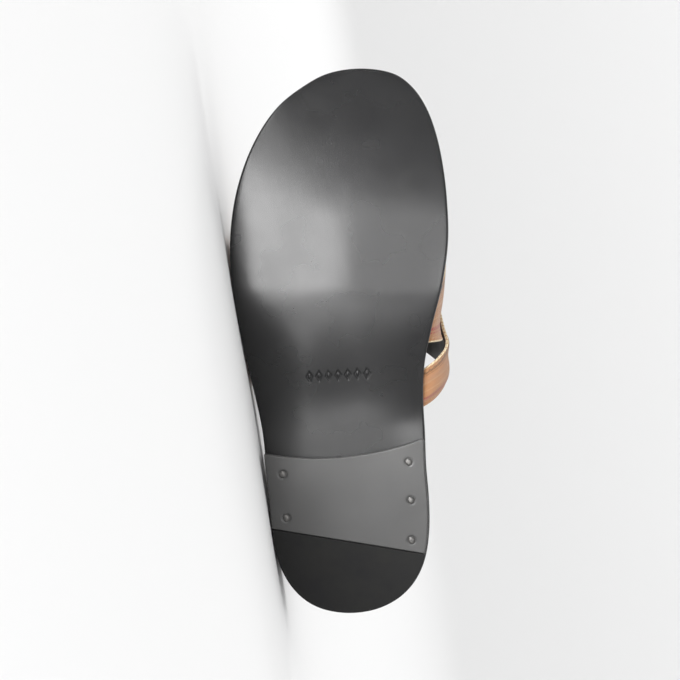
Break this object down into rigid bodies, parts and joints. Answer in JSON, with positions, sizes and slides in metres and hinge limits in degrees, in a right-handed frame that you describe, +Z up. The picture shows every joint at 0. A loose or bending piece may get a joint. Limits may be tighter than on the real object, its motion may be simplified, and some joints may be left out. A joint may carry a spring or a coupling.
{
  "type": "leather crossover sandal",
  "caption": "Right-foot leather slide sandal with crossed instep straps, a moulded insole and a low nailed heel, lying on its outer side.",
  "frame": {"origin": "middle of the box's bottom, on the floor that the shoe lies on", "axes": "+X from toe to heel, along the shoe as it lies; +Y from the sole towards the straps; +Z up, from the foot's outer side to its inner side"},
  "size_m": [0.2788, 0.0694, 0.1178],
  "materials": {
    "sole_leather": "polished, waxed black",
    "heel_leather": "polished, waxed black",
    "heel_rubber": "matte",
    "nail_metal": "blackened",
    "insole_leather": "smooth, satin",
    "strap_fabric": "woven canvas, bound in leather"
  },
  "bodies": {
    "root": {"outsole": "sole_leather", "heel_block": "heel_leather", "heel_tip": "heel_rubber", "heel_nail_1": "nail_metal", "heel_nail_2": "nail_metal", "heel_nail_3": "nail_metal", "heel_nail_4": "nail_metal", "heel_nail_5": "nail_metal", "insole": "insole_leather", "upper": "strap_fabric"}
  },
  "joints": []
}
